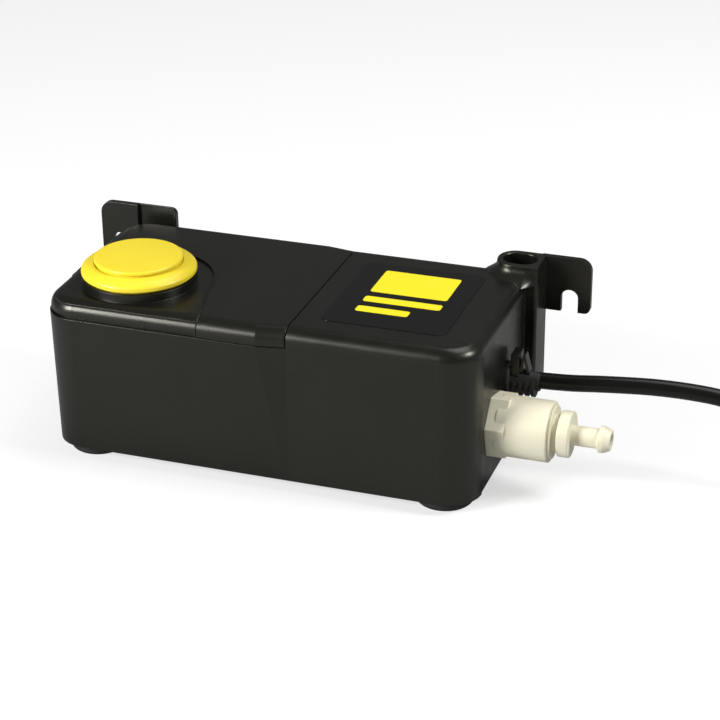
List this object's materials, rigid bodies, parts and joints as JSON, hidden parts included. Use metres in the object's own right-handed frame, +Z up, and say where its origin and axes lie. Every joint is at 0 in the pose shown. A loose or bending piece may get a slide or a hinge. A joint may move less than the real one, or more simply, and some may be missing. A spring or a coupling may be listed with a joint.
{
  "type": "condensate pump",
  "caption": "Small tank condensate pump: tank with lift-off lid and inlet cap, motor housing, check valve with hose tail, hanging ears and mains lead.",
  "frame": {"origin": "on the surface that the feet stand on, under the middle of the object's box without its mains lead", "axes": "+X along the case to the outlet, +Y back to the wall, +Z up"},
  "size_m": [0.4894, 0.1388, 0.0939],
  "materials": {
    "black_plastic": "satin moulded plastic",
    "yellow_plastic": "satin moulded plastic",
    "ivory_nylon": "satin nylon",
    "grey_plastic": "moulded plastic",
    "clear_silicone": "translucent tube",
    "black_rubber": "matt rubber",
    "cable_sheath": "smooth sheath",
    "zinc_screw": "zinc plated",
    "stainless": "ground",
    "laminations": "stacked sheet",
    "enamelled_copper": "enamelled wire",
    "ferrite": "sintered ferrite",
    "circuit_green": "solder mask",
    "white_plastic": "moulded plastic",
    "reed_glass": "clear"
  },
  "bodies": {
    "housing": {"pump_body": "black_plastic", "lid_seal": "black_rubber", "end_panel": "black_plastic", "base_cover": "black_plastic", "base_screws": "zinc_screw", "rubber_feet": "black_rubber", "valve_body": "ivory_nylon", "valve_cap": "ivory_nylon", "hose_tail": "ivory_nylon", "tail_seal": "black_rubber", "valve_seal": "black_rubber", "valve_spring": "stainless", "delivery_tube": "clear_silicone", "rotor_can": "white_plastic", "can_gasket": "black_rubber", "pump_chamber": "grey_plastic", "chamber_screws": "stainless", "intake_filter": "grey_plastic", "rotor_shaft": "stainless", "stator_core": "laminations", "core_rivets": "zinc_screw", "coil_bobbins": "white_plastic", "coil_windings": "enamelled_copper", "circuit_board": "circuit_green", "terminal_block": "white_plastic", "control_relay": "white_plastic", "filter_capacitor": "yellow_plastic", "supply_fuse": "reed_glass", "float_bracket": "grey_plastic", "bracket_screw": "stainless", "float_stem": "grey_plastic", "stem_nut": "grey_plastic", "stem_collar": "grey_plastic", "float_clip": "stainless", "reed_switches": "reed_glass", "cable_gland": "black_rubber", "cable_clip": "black_plastic", "mains_lead": "cable_sheath", "lead_coil": "cable_sheath", "lead_cores": "enamelled_copper"},
    "lid": {"tank_lid": "black_plastic"},
    "cap": {"inlet_cap": "yellow_plastic", "cap_seal": "black_rubber"},
    "float": {"float": "white_plastic", "float_magnet": "ferrite"},
    "rotor": {"impeller": "grey_plastic", "rotor_magnet": "ferrite", "rotor_bearings": "grey_plastic"},
    "poppet": {"valve_poppet": "white_plastic"}
  },
  "joints": [
    {"name": "lid_lift", "type": "slide", "parent": "housing", "child": "lid", "axis": [0, 0, 1], "range_m": [0, 0.03]},
    {"name": "cap_lift", "type": "slide", "parent": "lid", "child": "cap", "axis": [0, 0, 1], "range_m": [0, 0.025]},
    {"name": "float_rise", "type": "slide", "parent": "housing", "child": "float", "axis": [0, 0, 1], "range_m": [0, 0.026]},
    {"name": "impeller_spin", "type": "hinge", "parent": "housing", "child": "rotor", "pos_m": [0.00077, 0.01232, 0.032], "axis": [1, 0, 0], "continuous": true},
    {"name": "poppet_slide", "type": "slide", "parent": "housing", "child": "poppet", "axis": [1, 0, 0], "range_m": [0, 0.0025], "stiffness_N_per_m": 60, "springref_m": -0.002, "deforming": ["valve_spring"]}
  ]
}
